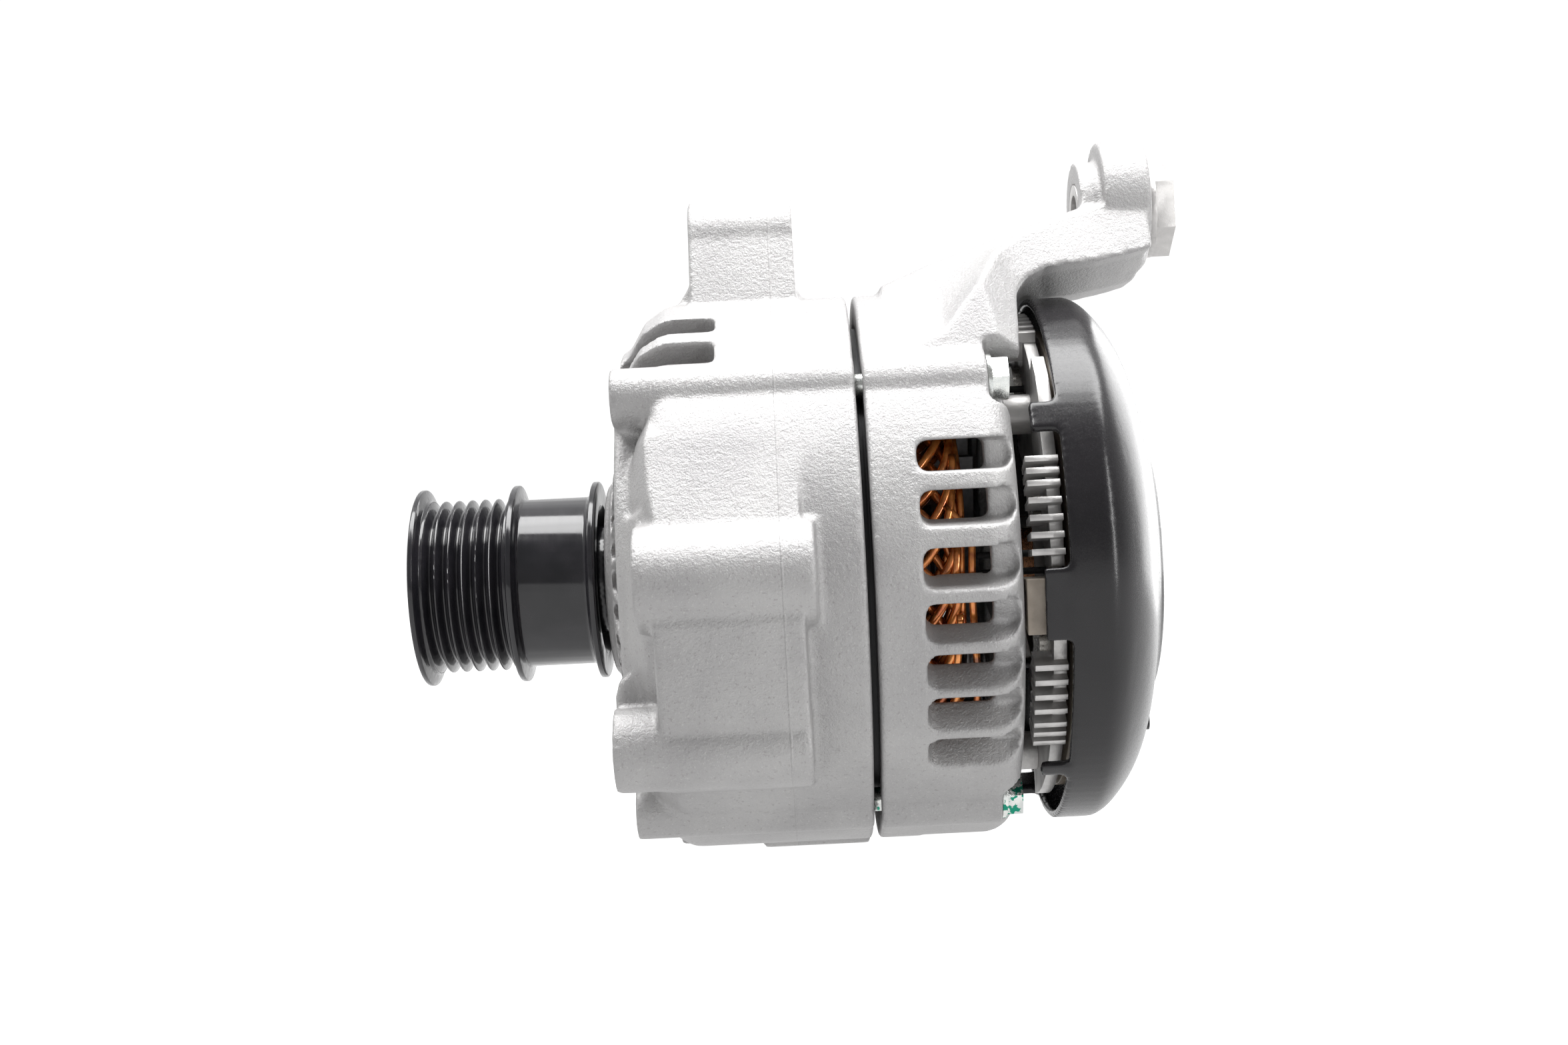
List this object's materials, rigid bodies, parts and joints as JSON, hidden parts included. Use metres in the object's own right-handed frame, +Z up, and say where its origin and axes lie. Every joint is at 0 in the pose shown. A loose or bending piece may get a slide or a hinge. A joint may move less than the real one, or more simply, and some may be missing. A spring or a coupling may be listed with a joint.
{
  "type": "car alternator",
  "caption": "Car alternator with a ribbed overrunning belt pulley, vented cast housings, claw-pole rotor, rectifier and black rear cover.",
  "frame": {"origin": "centre of the tool socket's mouth at the pulley's front face, on the shaft axis", "axes": "+X along the shaft towards the rear cover, +Z up through the mounting ear, the bracket bosses on the -Y side"},
  "size_m": [0.2051, 0.1552, 0.1866],
  "materials": {
    "cast_alloy": "fine shot-blast cast aluminium, satin",
    "machined_alloy": "cast fins, light grey, matte",
    "black_steel": "black oxide, polished and oiled, glossy",
    "zinc_steel": "bright zinc plate",
    "bearing_steel": "ground and polished steel",
    "cage_polymer": "natural polyamide",
    "rotor_steel": "forged and pressed steel, dull grey",
    "core_steel": "laminated electrical steel, dark varnish",
    "copper_enamel": "enamelled copper wire, amber, glossy",
    "copper": "turned copper",
    "insulation": "insulating paper and moulded nylon",
    "black_plastic": "moulded glass-filled nylon, satin black",
    "beige_plastic": "moulded polyphenylene, beige",
    "diode_cup": "nickel-plated copper cups",
    "seal_rubber": "nitrile rubber, matte",
    "carbon": "copper-graphite, matte dark grey"
  },
  "bodies": {
    "housing": {"front_housing": "cast_alloy", "rear_housing": "cast_alloy", "arm_bushing": "machined_alloy", "through_bolts": "zinc_steel", "bearing_retainer": "rotor_steel", "retainer_screws": "zinc_steel", "front_bearing_outer_ring": "bearing_steel", "rear_bearing_outer_ring": "bearing_steel", "rear_bearing_sleeve": "cage_polymer", "stator_core": "core_steel", "slot_liners": "insulation", "stator_winding": "copper_enamel", "stator_leads": "seal_rubber", "negative_heat_sink": "machined_alloy", "positive_heat_sink": "machined_alloy", "negative_diodes": "diode_cup", "positive_diodes": "diode_cup", "terminal_plate": "beige_plastic", "rectifier_spacers": "machined_alloy", "cover_studs": "zinc_steel", "cover_nuts": "zinc_steel", "rear_cover": "black_plastic", "regulator": "black_plastic", "connector_pins": "zinc_steel", "brush_holder": "black_plastic", "inner_brush_spring": "bearing_steel", "outer_brush_spring": "bearing_steel", "battery_stud": "zinc_steel", "battery_insulator": "black_plastic", "battery_nut": "zinc_steel"},
    "rotor": {"shaft": "rotor_steel", "pulley_hub": "black_steel", "claw_pole_front": "rotor_steel", "claw_pole_rear": "rotor_steel", "field_bobbin": "insulation", "field_coil": "copper_enamel", "front_fan": "rotor_steel", "rear_fan": "rotor_steel", "slip_ring_insulator": "insulation", "inner_slip_ring": "copper", "outer_slip_ring": "copper", "front_bearing_inner_ring": "bearing_steel", "rear_bearing_inner_ring": "bearing_steel", "pulley_bearing_inner_ring": "bearing_steel"},
    "pulley": {"pulley_shell": "black_steel", "pulley_seal": "seal_rubber", "clutch_race": "bearing_steel", "clutch_rollers": "bearing_steel", "clutch_cage": "cage_polymer", "pulley_bearing_outer_ring": "bearing_steel"},
    "front_ball_set": {"front_bearing_balls": "bearing_steel", "front_bearing_cage": "cage_polymer"},
    "rear_ball_set": {"rear_bearing_balls": "bearing_steel", "rear_bearing_cage": "cage_polymer"},
    "pulley_ball_set": {"pulley_bearing_balls": "bearing_steel", "pulley_bearing_cage": "cage_polymer"},
    "brush_inner": {"inner_brush": "carbon"},
    "brush_outer": {"outer_brush": "carbon"}
  },
  "joints": [
    {"name": "rotor_spin", "type": "hinge", "parent": "housing", "child": "rotor", "pos_m": [0, 0, 0], "axis": [1, 0, 0], "continuous": true},
    {"name": "pulley_overrun", "type": "hinge", "parent": "rotor", "child": "pulley", "pos_m": [0, 0, 0], "axis": [1, 0, 0], "continuous": true},
    {"name": "front_ball_set_roll", "type": "hinge", "parent": "housing", "child": "front_ball_set", "pos_m": [0, 0, 0], "axis": [1, 0, 0], "continuous": true},
    {"name": "rear_ball_set_roll", "type": "hinge", "parent": "housing", "child": "rear_ball_set", "pos_m": [0, 0, 0], "axis": [1, 0, 0], "continuous": true},
    {"name": "pulley_ball_set_roll", "type": "hinge", "parent": "rotor", "child": "pulley_ball_set", "pos_m": [0, 0, 0], "axis": [1, 0, 0], "continuous": true},
    {"name": "inner_brush_slide", "type": "slide", "parent": "housing", "child": "brush_inner", "axis": [0, 0, 1], "range_m": [0, 0.004], "stiffness_N_per_m": 80, "springref_m": -0.012, "deforming": ["inner_brush_spring"]},
    {"name": "outer_brush_slide", "type": "slide", "parent": "housing", "child": "brush_outer", "axis": [0, 0, 1], "range_m": [0, 0.004], "stiffness_N_per_m": 80, "springref_m": -0.012, "deforming": ["outer_brush_spring"]}
  ],
  "couplings": [
    {"joint": "front_ball_set_roll", "follows": "rotor_spin", "ratio": 0.3825},
    {"joint": "rear_ball_set_roll", "follows": "rotor_spin", "ratio": 0.4077},
    {"joint": "pulley_ball_set_roll", "follows": "pulley_overrun", "ratio": 0.5629}
  ]
}
